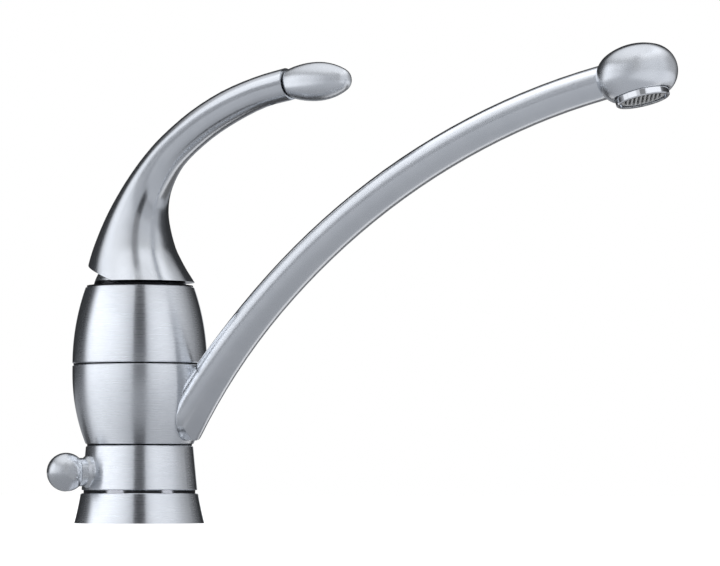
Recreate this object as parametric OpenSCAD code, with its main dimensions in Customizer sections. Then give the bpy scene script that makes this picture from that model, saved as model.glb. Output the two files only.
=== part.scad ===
// Single-lever kitchen mixer tap with a swivel spout and an appliance shut-off valve.
// Millimetres. The origin is the centre of the base on the deck, Z is up and X runs along the spout.

/* [Base] */
// Radius of the flange where it stands on the deck
base_bottom_r = 27.3; // [26.5:0.1:30]
// Radius of the flange at its top edge
base_top_r = 24.6; // [24:0.1:26]
// Height of the flange
base_h = 12.5; // [11:0.1:16]
// Radius of the hollow curve of the flange's side
base_flare_r = 150; // [100:5:400]
// Height of the bright ring in the groove above the flange
ring_h = 1.3; // [0.8:0.1:2]
// How far the bright ring stands back from the surface
ring_recess = 0.9; // [0.5:0.1:1.5]
// Radial width of the rubber ring under the flange
seal_w = 4; // [3:0.1:5]
// Thickness of the rubber ring under the flange
seal_h = 2; // [1.5:0.1:3]
// Width of the flange's flat rim outside the rubber ring
rim_w = 2.6; // [2:0.1:4]
// Width of the bevels on the visible edges
bevel_w = 0.4; // [0.2:0.05:0.45]

/* [Fixed body] */
// Radius of the lower body at its bottom edge
body_bottom_r = 24.3; // [23.5:0.1:25]
// Radius of the lower body at its top edge
body_top_r = 22.5; // [22:0.1:23.5]
// Height of the lower body
body_h = 18.6; // [18:0.1:24]
// Radius of the spigot that sits in the flange and over the deck hole
spigot_r = 16.9; // [16.6:0.1:17.4]
// Height of the spigot's underside above the deck
spigot_lift = 1.5; // [1:0.1:2]
// Radius of the column inside the hub
column_r = 17.5; // [17.3:0.1:18]

/* [Swivel hub] */
// Thickness of the glide rings' flanges and the dust ring, the three black lines
line_h = 0.6; // [0.4:0.05:0.8]
// How far the black lines stand back from the surface
line_recess = 0.5; // [0.4:0.1:1]
// Height of the hub
hub_h = 33.1; // [32:0.1:40]
// Radius of the hub at its bottom edge
hub_bottom_r = 22.6; // [22.3:0.1:24]
// Largest radius, at the line between hub and barrel
belly_r = 28.3; // [27.8:0.1:30]
// Height of the straight band below the largest radius
belly_band = 3.5; // [2:0.1:5]
// Wall of the glide rings' sleeves
sleeve_wall = 0.95; // [0.8:0.05:1.2]
// Height of the lower glide ring's sleeve
lower_sleeve_h = 3; // [2.5:0.1:3.4]
// Running clearance of every turning fit
turn_gap = 0.05; // [0.02:0.01:0.09]
// Thickness of the O-rings in the column
o_ring_d = 2.5; // [2:0.1:2.6]
// Height of the water chamber round the column
chamber_h = 8; // [6:0.5:9]
// Depth of the water chamber in the column's side
chamber_depth = 2.3; // [1.5:0.1:2.6]

/* [Barrel and dome] */
// Height of the barrel
barrel_h = 32.2; // [31.5:0.1:36]
// Radius of the barrel at its top edge
barrel_top_r = 22.8; // [22.4:0.1:24]
// How far the barrel's threaded collar reaches down inside the hub
collar_h = 8.2; // [7:0.1:9]
// Outer radius of that collar
collar_r = 20; // [19.6:0.1:20.3]
// Radius of the dome cover
dome_r = 20.1; // [19.9:0.05:20.3]
// Wall of the dome cover
dome_wall = 1.3; // [1:0.1:1.5]
// Radius of the opening at the top of the dome
dome_opening_r = 12; // [11.5:0.1:13]

/* [Cartridge] */
// Depth of the cartridge's bearing face below the barrel's top edge
seat_depth = 29; // [28.7:0.1:29.3]
// Height of the cartridge's base plate
plate_h = 4; // [3.5:0.1:4.5]
// Thickness of the fixed ceramic disc
fixed_disc_h = 3.5; // [3:0.1:4]
// Thickness of the moving ceramic disc
moving_disc_h = 3; // [2.5:0.1:3.4]
// Radius of the moving ceramic disc
moving_disc_r = 11.2; // [10.8:0.1:11.4]
// Inner radius of the cartridge housing
housing_bore_r = 15; // [14.8:0.05:15.2]
// Height of the shoulder that the nut presses on, above the cartridge's bearing face
shoulder_rise = 21.2; // [21:0.1:21.6]
// Outer radius of the cartridge's neck
neck_r = 13.5; // [13.2:0.1:13.8]
// Radius of the rotor in the neck
rotor_r = 10.95; // [10.8:0.05:11]
// Height of the lever's lifting axis above the cartridge's bearing face
pivot_rise = 24.9; // [24.7:0.1:25.1]
// Distance from the lifting axis down to the spindle's ball
ball_reach = 9; // [8.5:0.1:9.3]
// Radius of the spindle's ball
ball_r = 2.8; // [2.5:0.05:2.9]
// Width of the spindle's square
spindle_w = 7.9; // [7.5:0.1:8]
// Height of the spindle above the lifting axis
spindle_h = 31; // [28:0.5:32]
// Radius of the pin that the spindle lifts on
pin_r = 1.5; // [1.2:0.1:1.7]

/* [Water ways] */
// Radius of the circle that the supply ports lie on
ports_r = 10.2; // [10:0.1:10.4]
// Wall radius of a threaded supply port
port_r = 4.5; // [4:0.1:4.7]
// Depth of a threaded supply port
port_depth = 10; // [9:0.5:10.5]
// Radius of the hot and cold ways up the column
way_r = 3.4; // [3:0.1:3.5]
// Angle of the hot and cold ways each side of the X axis
supply_angle = 50; // [48:1:54]
// Radius of the mixed-water way down the column
mix_r = 3.8; // [3.4:0.1:4]
// Distance of the mixed-water way behind the tap's axis
mix_back = 9.3; // [9:0.1:9.6]

/* [Spout] */
// Distance from the tap's axis to the middle of the outlet bulb
spout_reach = 236.5; // [200:0.5:260]
// Height of the middle of the outlet bulb above the deck
outlet_h = 176; // [165:0.5:190]
// Radius of the spout tube's bend
bend_r = 314; // [260:1:400]
// Height above the hub's bottom edge where the tube's middle line leaves the hub
root_rise = 15.1; // [13.5:0.1:16]
// Radius of the tube at the hub
tube_root_r = 7.7; // [7:0.1:8]
// How much the tube's foot widens before it meets the hub
root_flare = 2.2; // [0:0.1:2.6]
// Height of the spout's rounded foot
foot_arch_h = 12; // [9:0.5:14]
// Radius of the tube at the outlet
tube_end_r = 6.8; // [6.6:0.05:7.2]
// Radius of the tube's bore
tube_bore_r = 5.2; // [4.5:0.1:5.4]

/* [Outlet] */
// Largest radius of the outlet bulb
bulb_r = 16.2; // [15.8:0.1:17.5]
// Height of the bulb above its middle
bulb_h = 11.7; // [11:0.1:12.5]
// Radius of the bulb's rounded side
bulb_side_r = 10.3; // [9.5:0.1:10.8]
// Distance from the bulb's middle down to its rim
rim_drop = 8.3; // [7.8:0.1:8.5]
// Outward tilt of the outlet
outlet_tilt = 14.5; // [10:0.5:20]
// Outer radius of the aerator's sleeve below the rim
aerator_r = 10.7; // [10.6:0.05:10.9]
// How far the aerator's sleeve stands out of the rim
aerator_out = 2.8; // [2:0.1:4]
// Radius of the aerator's thread in the bulb
aerator_thread_r = 10.4; // [10.2:0.05:10.5]
// Radius of the mouth of the aerator's sleeve
aerator_mouth_r = 9.5; // [9.3:0.05:9.7]
// Direction that the aerator's slats run, turned from square to the spout
slat_turn = 32; // [0:1:90]
// Distance from slat to slat
slat_pitch = 1.7; // [1.5:0.05:1.8]

/* [Lever] */
// Radius of the skirt at its bottom edge
skirt_r = 23; // [22.6:0.1:23.6]
// Height of the skirt's bottom edge above the barrel's top
skirt_gap = 2; // [1.6:0.05:2.2]
// Slope of the skirt's rear edge
rear_cut_angle = 20; // [20:0.5:24]
// Where the rear slope starts in front of the tap's axis
rear_cut_x = 1.5; // [0:0.5:4]
// Open space between the dome and the inside of the skirt
skirt_clear = 0.45; // [0.4:0.05:0.7]
// Length of the arm, from the tap's axis to the middle of its end face
arm_reach = 74.5; // [71:0.1:77]
// Radius of the arm at its end
arm_end_r = 6.75; // [6.6:0.05:7]
// Lean of the arm's end face
arm_end_lean = 12; // [0:1:20]
// Thread radius of the set screw that holds the lever on the spindle
set_screw_r = 2.5; // [2:0.1:3]
// Length of that set screw
set_screw_l = 9; // [6:0.5:9.5]

/* [Knob] */
// Length of the egg-shaped knob, from its widest place to its free end
knob_half_l = 16; // [14:0.1:17]
// Length of the knob, from its widest place to the end inside the arm
knob_back_l = 16.5; // [14:0.1:17.5]
// Radius of the egg-shaped knob
knob_r = 8; // [7.6:0.1:8.5]
// Radius of the knob's rounded free end
knob_tip_r = 5.2; // [4.6:0.1:5.6]
// Radius of the knob's blunter end inside the arm
knob_back_r = 6.5; // [5.2:0.1:7]
// Height of the knob's middle above the skirt's bottom edge
knob_rise = 80.1; // [79.1:0.1:81.1]
// How far the knob reaches into the hollow end of the arm
knob_nest = 2.8; // [1.5:0.1:3]
// Wall of the hollow's thin rim
knob_cup_wall = 0.6; // [0.5:0.05:1.2]
// Open space between the knob and the hollow end of the arm
knob_gap = 0.5; // [0.3:0.05:0.8]
// Radius of the stem that joins knob and arm
stem_r = 2.5; // [2:0.1:3]
// Length of the stem inside the knob
stem_in_knob = 12; // [8:0.5:20]
// Length of the stem inside the arm
stem_in_arm = 12; // [11:0.5:13]
// Thread radius of the screw under the arm
knob_screw_r = 2; // [1.6:0.1:2.2]

/* [Appliance valve] */
// Direction that the valve's knob points, seen from above
valve_az = -122; // [-124:1:-120]
// Height of the valve's axis above the lower body's bottom edge
valve_rise = 7.5; // [7.4:0.1:8]
// Radius of the ball knob
valve_ball_r = 8.05; // [7.5:0.05:9]
// Distance of the ball's middle from the tap's axis
valve_ball_reach = 33.1; // [32.5:0.1:36]
// Radius of the neck behind the ball
valve_neck_r = 5.9; // [5.6:0.1:6.1]
// Radius of the valve's chamber in the body
valve_chamber_r = 6.4; // [6.3:0.05:6.5]
// Distance of the chamber's floor from the tap's axis
valve_floor = 6; // [5.5:0.1:6.5]
// Radius of the valve's spindle
valve_spindle_r = 2.5; // [2:0.1:2.8]
// Thickness of each ceramic disc in the valve
valve_disc_h = 2; // [1.6:0.1:2.2]

/* [Fixing kit] */
// Thickness of the deck that the tap is shown clamped to
deck_t = 30; // [10:1:40]
// Radius of the fixing stud
stud_r = 4; // [3:0.5:4]
// Distance of the stud from the tap's axis
stud_back = 11.6; // [11.4:0.1:11.8]
// Direction of the stud, seen from above
stud_az = 150; // [148:1:152]
// Outer radius of the two clamping washers
washer_r = 26; // [24:0.5:30]
// Half width of the washers' slot for the hoses
slot_half_w = 16.5; // [15.8:0.1:17]
// Thickness of the rubber washer
rubber_t = 3; // [2:0.5:4]
// Thickness of the steel washer
steel_t = 3; // [2:0.5:4]
// Width of the nut across its flats
nut_af = 13; // [12:0.5:15]
// Height of the nut
nut_h = 10; // [6:0.5:14]
// Length of the stud that shows below the nut
stud_tail = 8; // [4:1:20]

/* [Hidden] */
$fn = 96;

// A cut runs this far past the face that it opens
past = 1;
// Clearance of a part that is dropped in by hand
drop_in = 0.1;
nickel = "#b9bcc2";
bright = "#d8dade";
black = "#26272a";
brass = "#c2a45a";
plastic = "#e4e4e0";
ceramic = "#f1f0ea";
steel = "#9ea2a8";

// Levels up the tap
z_body = base_h + ring_h;
z_body_top = z_body + body_h;
z_hub = z_body_top + line_h + turn_gap;
z_hub_top = z_hub + hub_h;
z_barrel = z_hub_top + turn_gap + line_h;
z_barrel_top = z_barrel + barrel_h;
z_seat = z_barrel_top - seat_depth;
z_pivot = z_seat + pivot_rise;
z_skirt = z_barrel_top + skirt_gap;
z_valve = z_body + valve_rise;
z_port_top = spigot_lift + port_depth;

// Column: two O-ring grooves with the water chamber between them
groove_land = 1.3;
z_lower_groove = z_hub + lower_sleeve_h + 0.5;
z_chamber = z_lower_groove + o_ring_d + groove_land;
z_upper_groove = z_chamber + chamber_h + groove_land;
hub_bore_r = column_r + sleeve_wall + turn_gap;
groove_r = hub_bore_r - turn_gap - o_ring_d;
counterbore_r = collar_r + sleeve_wall + turn_gap;
z_collar = z_barrel - collar_h;
z_counterbore = z_collar - 0.5;
side_way_r = chamber_h / 2 - 0.5;

// Column ways, as places seen from above
hot_at = ports_r * [cos(supply_angle), -sin(supply_angle)];
cold_at = ports_r * [cos(supply_angle), sin(supply_angle)];
appliance_at = ports_r * [cos(valve_az), sin(valve_az)];
stud_at = stud_back * [cos(stud_az), sin(stud_az)];
port_list = [[hot_at.x, hot_at.y, way_r], [cold_at.x, cold_at.y, way_r], [-mix_back, 0, mix_r]];
seal_wall = 1.3;
seal_t = 1.2;

// Cartridge
cartridge_r = column_r - drop_in;
z_fixed_disc = z_seat + plate_h;
z_moving_disc = z_fixed_disc + fixed_disc_h + turn_gap;
z_carrier = z_moving_disc + moving_disc_h;
z_shoulder = z_seat + shoulder_rise;
z_ball = z_pivot - ball_reach;
peg_back = 13;
peg_r = 1.9;
peg_l = 2;
disc_inset = 0.6;
hollow_depth = 1.8;
hollow_front = 1.2;
hollow_wall = 1.4;
carrier_w = 16;
carrier_h = 6.5;
carrier_r = moving_disc_r - 0.2;
z_rotor = z_carrier + drop_in;
housing_roof = 1.6;
z_rotor_shoulder = z_shoulder - housing_roof - drop_in;
z_neck_top = z_shoulder + 7.6;
z_rotor_top = z_neck_top + 0.7;
slot_back = 7;
slot_front = 6.5;
bar_drop = 5.4;

// Nut and dome
nut_thread_h = 3;
nut_step_h = 3.4;
nut_step_r = dome_r - dome_wall - 0.5;
notch_w = 4;
notch_h = 1.6;
z_dome = z_shoulder + nut_thread_h;
z_nut_top = z_dome + nut_step_h;
barrel_mouth_r = dome_r + turn_gap;

// Radius of the arc that is upright at its widest point and dr narrower at a height dz away
function arc_r(dr, dz) = (dr * dr + dz * dz) / (2 * dr);
hub_arc_r = arc_r(belly_r - hub_bottom_r, hub_h - belly_band);
barrel_arc_r = arc_r(belly_r - barrel_top_r, barrel_h);
z_hub_arc = z_hub_top - belly_band;
function hub_r_at(z) = belly_r - hub_arc_r + sqrt(hub_arc_r * hub_arc_r - pow(z_hub_arc - z, 2));

// Centre of the arc of radius r from p to q, on the right-hand side of the way from p to q
function arc_centre(p, q, r) =
    let (d = q - p, l = norm(d), h = sqrt(r * r - l * l / 4))
    (p + q) / 2 + h * [d.y, -d.x] / l;

// Middle line of the spout in the XZ plane, as an angle from upright about the bend's centre
z_root = z_hub + root_rise;
root_at = [hub_r_at(z_root), z_root];
bulb_at = [spout_reach, outlet_h];
bend_at = arc_centre(root_at, bulb_at, bend_r);
function bend_angle(x) = asin((bend_at.x - x) / bend_r);
function bend_point(a) = bend_at + bend_r * [-sin(a), cos(a)];
tube_foot_angle = bend_angle(root_at.x - 15);
tube_foot_lift = 1.35;
foot_half_w = 8.9;
foot_tip_r = 6.6;
flare_share = 0.32;
bore_foot_angle = bend_angle(root_at.x - 3.3);
joint_angle = bend_angle(spout_reach - bulb_r + 1.6);
tube_last_angle = bend_angle(spout_reach - bulb_r + 9);
spigot_l = 4;
spigot_end_r = tube_bore_r + 0.9;
tube_rings = 32;
tube_sides = 36;
spout_way_r = 3.3;
spout_way_tilt = 6;

// Outlet levels along its own axis, measured down from the bulb's middle
outlet_chamber_r = 8.5;
outlet_chamber_top = 6.5;
outlet_way_r = 2.8;
outlet_way_rise = 1.9;
outlet_way_start = 3;
seal_at = 1.2;
thread_at = seal_at + seal_t;
step_at = rim_drop - 1.5;
lip_at = rim_drop + aerator_out;
mouth_depth = 2.5;
mouth_gap = 0.4;
insert_r = 9;
insert_foot_r = 8.5;
insert_inset = 0.8;
insert_wall = 0.9;
slat_w = 0.7;
slats_each_side = 4;

// Lever stations: forward of the tap's axis, above the skirt's edge, radius, lean of the section
lever_line = [
    [2.6, -10, skirt_r + 3.8, 0], [1.3, -5, skirt_r + 1.9, 0], [0, 0, skirt_r, 0],
    [-1.4, 5, skirt_r - 1.95, 0], [-2.3, 9.5, skirt_r - 3.7, 0], [-2.7, 15, skirt_r - 5.8, 1],
    [-1.5, 24.25, 14.1, 7], [1.1, 32.75, 11.4, 18], [5.1, 41.05, 9.4, 29], [10.8, 48.95, 8.15, 40],
    [18, 56.05, 7.5, 50], [30.9, 64.95, 7.3, 60], [45.3, 72.05, 7.1, 67],
    [60.4, knob_rise - 2.95, arm_end_r - 0.1, 74], [73.5, knob_rise - 0.45, arm_end_r, 78],
    [84, knob_rise + 1.35, arm_end_r, 80], [94, knob_rise + 2.85, arm_end_r, 80]];
steps_per_station = 3;
lever_sides = 40;
socket_clear = 0.05;
socket_top_clear = 0.5;
set_screw_drop = 6;
z_set_screw = z_pivot + spindle_h - set_screw_drop;
z_knob = z_skirt + knob_rise;
knob_x = arm_reach - knob_nest + knob_back_l;
knob_cup_depth = knob_nest + knob_gap;
knob_cup_r = arc_r(knob_cup_depth, arm_end_r - knob_cup_wall);
knob_screw_x = arm_reach - 8.2;
knob_screw_l = 4.5;
hex_r = 1.4;
hex_depth = 2;

// Valve levels along its own axis, measured out from the tap's axis
valve_disc_at = valve_floor + seal_t;
valve_turn_at = valve_disc_at + valve_disc_h + turn_gap;
valve_flange_at = valve_turn_at + valve_disc_h;
valve_flange_h = 1.8;
valve_flange_r = 5;
valve_body_at = valve_flange_at + valve_flange_h + turn_gap;
valve_foot_r = 6.85;
valve_foot_at = 22.5;
valve_foot_h = 1.6;
valve_flare_h = 1;
valve_knob_at = valve_ball_reach - 4.9;
valve_neck_end = valve_knob_at - 0.3;
valve_spindle_end = valve_ball_reach + 3;
valve_ring_d = 1.6;
valve_ring_at = 18;
valve_hole_r = 1.5;
valve_hole_off = 2.3;
valve_screw_r = 1.5;
valve_screw_l = 3.5;
valve_screw_at = valve_ball_reach - 1;
bleed_r = 2.2;
bleed_at = valve_turn_at + bleed_r;

// Fixing kit levels; the slot is cut across the washers from here outwards
slot_start = 5.4;
slot_corner_r = 4;
stud_in = port_depth - 0.5;
stud_clear = 0.3;
z_rubber = -deck_t - rubber_t;
z_steel = z_rubber - steel_t;
z_nut = z_steel - nut_h;

// Ring between two radii, from z up
module ring(outer_r, inner_r, z, h) {
    translate([0, 0, z]) difference() {
        cylinder(r = outer_r, h = h);
        translate([0, 0, -past]) cylinder(r = inner_r, h = h + 2 * past);
    }
}

// Ring of round section about the Z axis
module o_ring(inner_r, d) {
    rotate_extrude() translate([inner_r + d / 2, 0]) circle(d = d);
}

// Diamond that bevels the corner of an outline at [r, z]
module bevel(r, z) {
    translate([r, z]) rotate(45) square(bevel_w * sqrt(2), center = true);
}

// Right half of an outline of four arcs: half width a along X, half height b, side radius side_r
module half_oval(a, b, side_r) {
    long_r = (pow(a - side_r, 2) + b * b - side_r * side_r) / (2 * (b - side_r));
    meet_x = (a - side_r) * long_r / (long_r - side_r);
    intersection() {
        translate([0, b - long_r]) circle(long_r);
        translate([0, long_r - b]) circle(long_r);
        translate([0, -b - past]) square([meet_x, 2 * (b + past)]);
    }
    intersection() {
        translate([a - side_r, 0]) circle(side_r);
        translate([a - side_r, -b]) square([side_r + past, 2 * b]);
    }
}

// Points round c in the XZ plane, square to the direction that leans from Z towards X
function ring_points(x, z, r, lean, n) =
    [for (j = [0 : n - 1]) let (a = 360 * j / n)
        [x + r * cos(a) * cos(lean), r * sin(a), z - r * cos(a) * sin(lean)]];

// Solid through rings of points that follow each other up the line
module skin(rings) {
    n = len(rings[0]);
    last = len(rings) - 1;
    points = [for (r = rings) for (p = r) p];
    sides = [for (i = [0 : last - 1]) for (j = [0 : n - 1])
        let (k = (j + 1) % n, a = i * n, b = a + n)
        each [[a + j, b + j, b + k], [a + j, b + k, a + k]]];
    caps = [[for (j = [0 : n - 1]) j], [for (j = [n - 1 : -1 : 0]) last * n + j]];
    polyhedron(points, concat(sides, caps), convexity = 6);
}

// Smooth curve from b to c, with neighbours a and d
function between(a, b, c, d, t) =
    (2 * b + (c - a) * t + (2 * a - 5 * b + 4 * c - d) * t * t + (3 * b - a - 3 * c + d) * t * t * t) / 2;

module at_bulb() {
    translate([bulb_at.x, 0, bulb_at.y]) rotate([0, -outlet_tilt, 0]) children();
}

module at_joint() {
    p = bend_point(joint_angle);
    translate([p.x, 0, p.y]) rotate([0, 90 - joint_angle, 0]) children();
}

module at_valve() {
    translate([0, 0, z_valve]) rotate([0, 0, valve_az]) rotate([0, 90, 0]) children();
}

module at_pivot() {
    translate([0, 0, z_pivot]) rotate([90, 0, 0]) children();
}

// Base flange, with the groove for its rubber ring
module base_flange() {
    color(nickel) rotate_extrude() difference() {
        translate([spigot_r + drop_in, 0]) square([base_bottom_r - spigot_r - drop_in, base_h]);
        translate(arc_centre([base_bottom_r, 0], [base_top_r, base_h], base_flare_r)) circle(base_flare_r);
        translate([base_bottom_r - rim_w - seal_w, -past]) square([seal_w, seal_h + past]);
        bevel(base_top_r, base_h);
    }
}

module base_seal() {
    color(black) ring(base_bottom_r - rim_w, base_bottom_r - rim_w - seal_w, 0, seal_h);
}

module shadow_ring() {
    color(bright) ring(body_bottom_r - ring_recess, spigot_r, base_h, ring_h);
}

// Drillings for water and for the valve
module body_ways() {
    for (p = [hot_at, cold_at]) translate([p.x, p.y, spigot_lift - past]) {
        cylinder(r = port_r, h = port_depth + past);
        cylinder(r = way_r, h = z_seat - spigot_lift + 2 * past);
    }
    translate([appliance_at.x, appliance_at.y, spigot_lift - past])
        cylinder(r = port_r, h = port_depth + past);
    rotate([0, 0, valve_az]) translate([bleed_at, 0, z_port_top - past])
        cylinder(r = bleed_r, h = z_valve - z_port_top);
    at_valve() {
        translate([0, 0, valve_floor]) cylinder(r = valve_chamber_r, h = valve_ball_reach);
        translate([0, 0, -ports_r]) cylinder(r = bleed_r, h = ports_r + valve_floor + past);
        translate([0, 0, valve_foot_at]) cylinder(r = valve_foot_r, h = valve_ball_reach);
    }
    translate([-mix_back, 0, z_chamber + chamber_h / 2]) {
        cylinder(r = mix_r, h = z_seat);
        rotate([0, -90, 0]) cylinder(r = side_way_r, h = column_r);
    }
}

// Lower body, spigot and column in one casting
module mixer_body() {
    color(nickel) difference() {
        union() {
            translate([0, 0, spigot_lift]) cylinder(r = spigot_r, h = z_body - spigot_lift + past);
            rotate_extrude() difference() {
                polygon([[0, z_body], [body_bottom_r, z_body], [body_top_r, z_body_top], [0, z_body_top]]);
                bevel(body_bottom_r, z_body);
                bevel(body_top_r, z_body_top);
            }
            translate([0, 0, z_body_top - past]) cylinder(r = column_r, h = z_seat - z_body_top + past);
        }
        body_ways();
        ring(column_r + past, groove_r, z_lower_groove, o_ring_d);
        ring(column_r + past, groove_r, z_upper_groove, o_ring_d);
        ring(column_r + past, column_r - chamber_depth, z_chamber, chamber_h);
        for (side = [-1, 1]) translate([0, side * peg_back, z_seat - peg_l - 0.5])
            cylinder(r = peg_r + drop_in, h = peg_l + past);
        translate([stud_at.x, stud_at.y, spigot_lift - past]) cylinder(r = stud_r, h = stud_in + past);
    }
}

module lower_glide_ring() {
    color(black) translate([0, 0, z_body_top]) difference() {
        union() {
            cylinder(r = body_top_r - line_recess, h = line_h);
            cylinder(r = column_r + sleeve_wall, h = line_h + lower_sleeve_h);
        }
        translate([0, 0, -past]) cylinder(r = column_r, h = line_h + lower_sleeve_h + 2 * past);
    }
}

module spout_o_rings() {
    color(black) for (z = [z_lower_groove, z_upper_groove])
        translate([0, 0, z + o_ring_d / 2]) o_ring(groove_r, o_ring_d);
}

module upper_glide_ring() {
    color(black) translate([0, 0, z_collar]) difference() {
        union() {
            translate([0, 0, collar_h - line_h]) cylinder(r = belly_r - line_recess, h = line_h);
            cylinder(r = collar_r + sleeve_wall, h = collar_h);
        }
        translate([0, 0, -past]) cylinder(r = collar_r, h = collar_h + 2 * past);
    }
}

// Barrel: threaded on the column below, holds the cartridge, nut and dome above
module barrel() {
    color(nickel) rotate_extrude() difference() {
        union() {
            intersection() {
                translate([belly_r - barrel_arc_r, z_barrel]) circle(barrel_arc_r);
                translate([column_r, z_barrel]) square([belly_r, barrel_h]);
            }
            translate([column_r, z_collar]) square([collar_r - column_r, collar_h + past]);
        }
        translate([0, z_shoulder - 0.5]) square([barrel_mouth_r, barrel_h]);
        bevel(belly_r, z_barrel);
        bevel(barrel_top_r, z_barrel_top);
    }
}

// Wiper that lies on the barrel's top edge, round the dome
module dust_ring() {
    color(black) ring(barrel_top_r - line_recess, barrel_mouth_r, z_barrel_top, line_h);
}

module cartridge_base() {
    color(plastic) difference() {
        union() {
            translate([0, 0, z_seat]) cylinder(r = cartridge_r, h = plate_h);
            for (side = [-1, 1]) translate([0, side * peg_back, z_seat - peg_l])
                cylinder(r = peg_r, h = peg_l + past);
        }
        for (p = port_list) translate([p.x, p.y, z_seat - past]) {
            cylinder(r = p.z, h = plate_h + 2 * past);
            cylinder(r = p.z + seal_wall, h = seal_t + past);
        }
    }
}

module port_seals() {
    color(black) for (p = port_list) translate([p.x, p.y, 0]) ring(p.z + seal_wall, p.z, z_seat, seal_t);
}

module cartridge_housing() {
    color(plastic) rotate_extrude() difference() {
        union() {
            translate([0, z_fixed_disc]) square([cartridge_r, z_shoulder - z_fixed_disc]);
            translate([0, z_shoulder - past]) square([neck_r, z_neck_top - z_shoulder + past]);
        }
        translate([0, z_fixed_disc - past])
            square([housing_bore_r, z_shoulder - housing_roof - z_fixed_disc + past]);
        translate([0, z_fixed_disc]) square([rotor_r + turn_gap, z_neck_top]);
    }
}

// The disc's ports lie a little nearer the middle than the ways below
module fixed_ceramic_disc() {
    color(ceramic) difference() {
        translate([0, 0, z_fixed_disc]) cylinder(r = housing_bore_r, h = fixed_disc_h);
        for (p = port_list) {
            reach = norm([p.x, p.y]);
            translate([p.x, p.y, 0] * (reach - disc_inset) / reach + [0, 0, z_fixed_disc - past])
                cylinder(r = p.z - disc_inset / 2, h = fixed_disc_h + 2 * past);
        }
    }
}

// The hollow in its underside joins the ports when the lever is lifted
module moving_ceramic_disc() {
    hollow_r = moving_disc_r - hollow_wall;
    color(ceramic) translate([0, 0, z_moving_disc]) difference() {
        cylinder(r = moving_disc_r, h = moving_disc_h);
        intersection() {
            translate([0, 0, -past]) cylinder(r = hollow_r, h = past + hollow_depth);
            translate([-moving_disc_r, -moving_disc_r, -2 * past])
                cube([moving_disc_r + hollow_front, 2 * moving_disc_r, moving_disc_h + 2 * past]);
        }
    }
}

module disc_carrier() {
    color(black) translate([0, 0, z_carrier]) difference() {
        intersection() {
            cylinder(r = carrier_r, h = carrier_h);
            translate([-carrier_r, -carrier_w / 2, 0]) cube([2 * carrier_r, carrier_w, carrier_h]);
        }
        translate([0, 0, z_ball - z_carrier - ball_r - 2 * drop_in])
            cylinder(r = ball_r + 2 * drop_in, h = carrier_h);
    }
}

// Rotor: guides the carrier below and holds the spindle's pin above
module cartridge_rotor() {
    side_gap = 0.15;
    color(plastic) difference() {
        union() {
            translate([0, 0, z_rotor])
                cylinder(r = housing_bore_r - turn_gap, h = z_rotor_shoulder - z_rotor);
            translate([0, 0, z_rotor]) cylinder(r = rotor_r, h = z_rotor_top - z_rotor);
        }
        translate([-housing_bore_r, -carrier_w / 2 - drop_in, z_rotor - past])
            cube([2 * housing_bore_r, carrier_w + 2 * drop_in, carrier_h + drop_in + past]);
        translate([-slot_back, -spindle_w / 2 - side_gap, z_rotor])
            cube([slot_back + slot_front, spindle_w + 2 * side_gap, z_rotor_top]);
        at_pivot() cylinder(r = pin_r, h = 4 * rotor_r, center = true);
    }
}

module pivot_pin() {
    color(steel) at_pivot() cylinder(r = pin_r, h = 2 * (rotor_r - 1.2), center = true);
}

// Square spindle: lifts on the pin, and its ball pushes the carrier
module spindle_lever() {
    color(brass) difference() {
        union() {
            translate([-spindle_w / 2, -spindle_w / 2, z_pivot - bar_drop])
                cube([spindle_w, spindle_w, spindle_h + bar_drop]);
            translate([0, 0, z_ball]) cylinder(r = ball_r - 0.8, h = ball_reach - bar_drop + past);
            translate([0, 0, z_ball]) sphere(r = ball_r);
        }
        at_pivot() cylinder(r = pin_r + turn_gap, h = 2 * spindle_w, center = true);
    }
}

module cartridge_nut() {
    color(brass) translate([0, 0, z_shoulder]) difference() {
        union() {
            cylinder(r = barrel_mouth_r, h = nut_thread_h);
            cylinder(r = nut_step_r, h = nut_thread_h + nut_step_h);
        }
        translate([0, 0, -past]) cylinder(r = neck_r + drop_in, h = nut_thread_h + nut_step_h + 2 * past);
        for (a = [0 : 60 : 300]) rotate([0, 0, a])
            translate([neck_r - past, -notch_w / 2, nut_thread_h + nut_step_h - notch_h])
                cube([barrel_mouth_r, notch_w, notch_h + past]);
    }
}

// Dome about the lifting axis, pushed over the nut's step
module dome_cover() {
    color(nickel) rotate_extrude() difference() {
        union() {
            intersection() {
                translate([0, z_pivot]) circle(dome_r);
                translate([0, z_dome]) square(2 * dome_r);
            }
            translate([0, z_dome]) square([dome_r, z_pivot - z_dome]);
        }
        translate([0, z_dome - 2 * past]) square([nut_step_r, z_nut_top - z_dome + 2 * past]);
        intersection() {
            translate([0, z_pivot]) circle(dome_r - dome_wall);
            translate([0, z_nut_top]) square(2 * dome_r);
        }
        translate([0, z_pivot - past]) square([dome_opening_r, 2 * dome_r]);
    }
}

module lever_form() {
    n = len(lever_line);
    last = lever_line[n - 2];
    skin([
        for (i = [1 : n - 3]) for (k = [0 : steps_per_station - 1])
            let (s = between(lever_line[i - 1], lever_line[i], lever_line[i + 1], lever_line[i + 2],
                k / steps_per_station))
            ring_points(s[0], z_skirt + s[1], s[2], s[3], lever_sides),
        ring_points(last[0], z_skirt + last[1], last[2], last[3], lever_sides)
    ]);
}

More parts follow.
